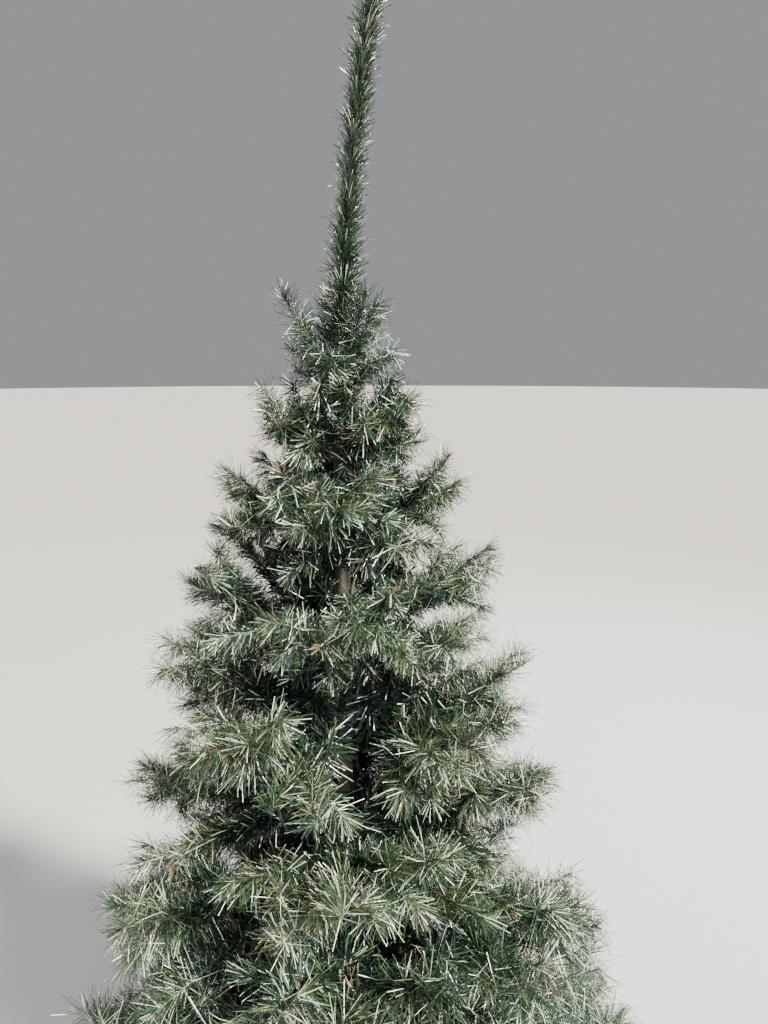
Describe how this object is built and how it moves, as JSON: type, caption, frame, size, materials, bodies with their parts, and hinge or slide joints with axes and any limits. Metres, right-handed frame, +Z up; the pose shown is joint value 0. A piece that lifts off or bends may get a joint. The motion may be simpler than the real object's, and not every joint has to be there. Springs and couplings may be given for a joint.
{
  "type": "artificial christmas tree",
  "caption": "Artificial Christmas tree: tiers of wire branches with plastic needles round a steel pole, a bottle-brush leader, and a four-legged steel stand.",
  "frame": {"origin": "on the floor, under the middle of the pole", "axes": "+Z up along the pole, +X to the viewer's right, +Y away from the viewer"},
  "size_m": [0.9157, 0.937, 1.8],
  "materials": {
    "needles_dark": "glossy cut plastic film",
    "needles_mid": "glossy cut plastic film",
    "needles_olive": "glossy cut plastic film",
    "bough_wire": "brown coated wire",
    "pole_paint": "satin brown enamel",
    "stand_paint": "satin green enamel",
    "foot_plastic": "moulded",
    "screw_zinc": "zinc plated"
  },
  "bodies": {
    "root": {"bough_tier1_1": "bough_wire", "bough_tier1_2": "bough_wire", "bough_tier1_3": "bough_wire", "bough_tier1_4": "bough_wire", "bough_tier1_5": "bough_wire", "foliage_tier1_1": "needles_mid", "foliage_tier1_2": "needles_dark", "foliage_tier1_3": "needles_olive", "foliage_tier1_4": "needles_dark", "foliage_tier1_5": "needles_dark", "foliage_tier2_1": "needles_dark", "foliage_tier2_2": "needles_dark", "foliage_tier2_3": "needles_mid", "foliage_tier2_4": "needles_dark", "foliage_tier2_5": "needles_mid", "foliage_tier3_1": "needles_olive", "foliage_tier3_2": "needles_mid", "foliage_tier3_3": "needles_mid", "foliage_tier3_4": "needles_dark", "foliage_tier3_5": "needles_dark", "foliage_tier4_1": "needles_olive", "foliage_tier4_2": "needles_olive", "foliage_tier4_3": "needles_olive", "foliage_tier4_4": "needles_mid", "foliage_tier4_5": "needles_mid", "foliage_tier5_1": "needles_dark", "foliage_tier5_2": "needles_mid", "foliage_tier5_3": "needles_mid", "foliage_tier5_4": "needles_mid", "foliage_tier6_1": "needles_dark", "foliage_tier6_2": "needles_dark", "foliage_tier6_3": "needles_dark", "foliage_tier6_4": "needles_olive", "foliage_tier7_1": "needles_dark", "foliage_tier7_2": "needles_dark", "foliage_tier7_3": "needles_dark", "foliage_tier7_4": "needles_mid", "foliage_tier8_1": "needles_mid", "foliage_tier8_2": "needles_mid", "foliage_tier8_3": "needles_olive", "foliage_tier8_4": "needles_dark", "foliage_tier9_1": "needles_olive", "foliage_tier9_2": "needles_dark", "foliage_tier9_3": "needles_mid", "foliage_tier9_4": "needles_olive", "foot_cap_1": "foot_plastic", "foot_cap_2": "foot_plastic", "foot_cap_3": "foot_plastic", "foot_cap_4": "foot_plastic", "leader": "needles_mid", "pole_lower": "pole_paint", "pole_upper": "pole_paint", "stand_leg_1": "stand_paint", "stand_leg_2": "stand_paint", "stand_leg_3": "stand_paint", "stand_leg_4": "stand_paint", "stand_socket": "stand_paint", "thumbscrew_1": "screw_zinc", "thumbscrew_2": "screw_zinc", "thumbscrew_3": "screw_zinc"}
  },
  "joints": []
}
